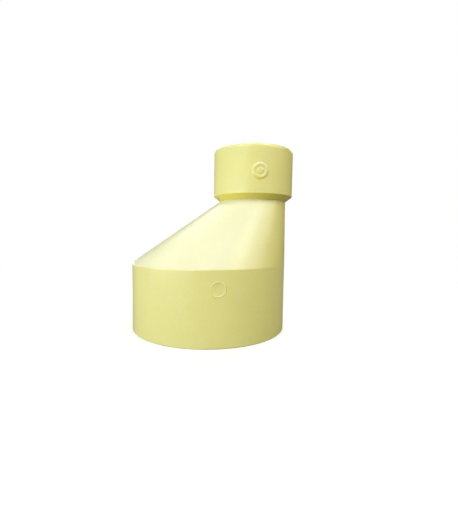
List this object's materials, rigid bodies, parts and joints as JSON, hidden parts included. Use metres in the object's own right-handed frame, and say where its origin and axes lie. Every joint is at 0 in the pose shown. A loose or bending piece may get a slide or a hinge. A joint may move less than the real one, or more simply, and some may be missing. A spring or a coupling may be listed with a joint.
{
  "type": "pvc pipe reducer",
  "caption": "Eccentric pipe reducer in cream uPVC: a wide and a narrow socket on parallel axes, joined by a slanting cone that is flush on one side.",
  "frame": {"origin": "centre of the large socket's mouth, on the surface that the fitting stands on", "axes": "+Z along the large socket's axis towards the small socket, +X towards the flush side, which the small socket is set over to"},
  "size_m": [0.1234, 0.1185, 0.1367],
  "materials": {
    "cream_upvc": "semi-gloss moulded"
  },
  "bodies": {
    "root": {"reducer_body": "cream_upvc"}
  },
  "joints": []
}
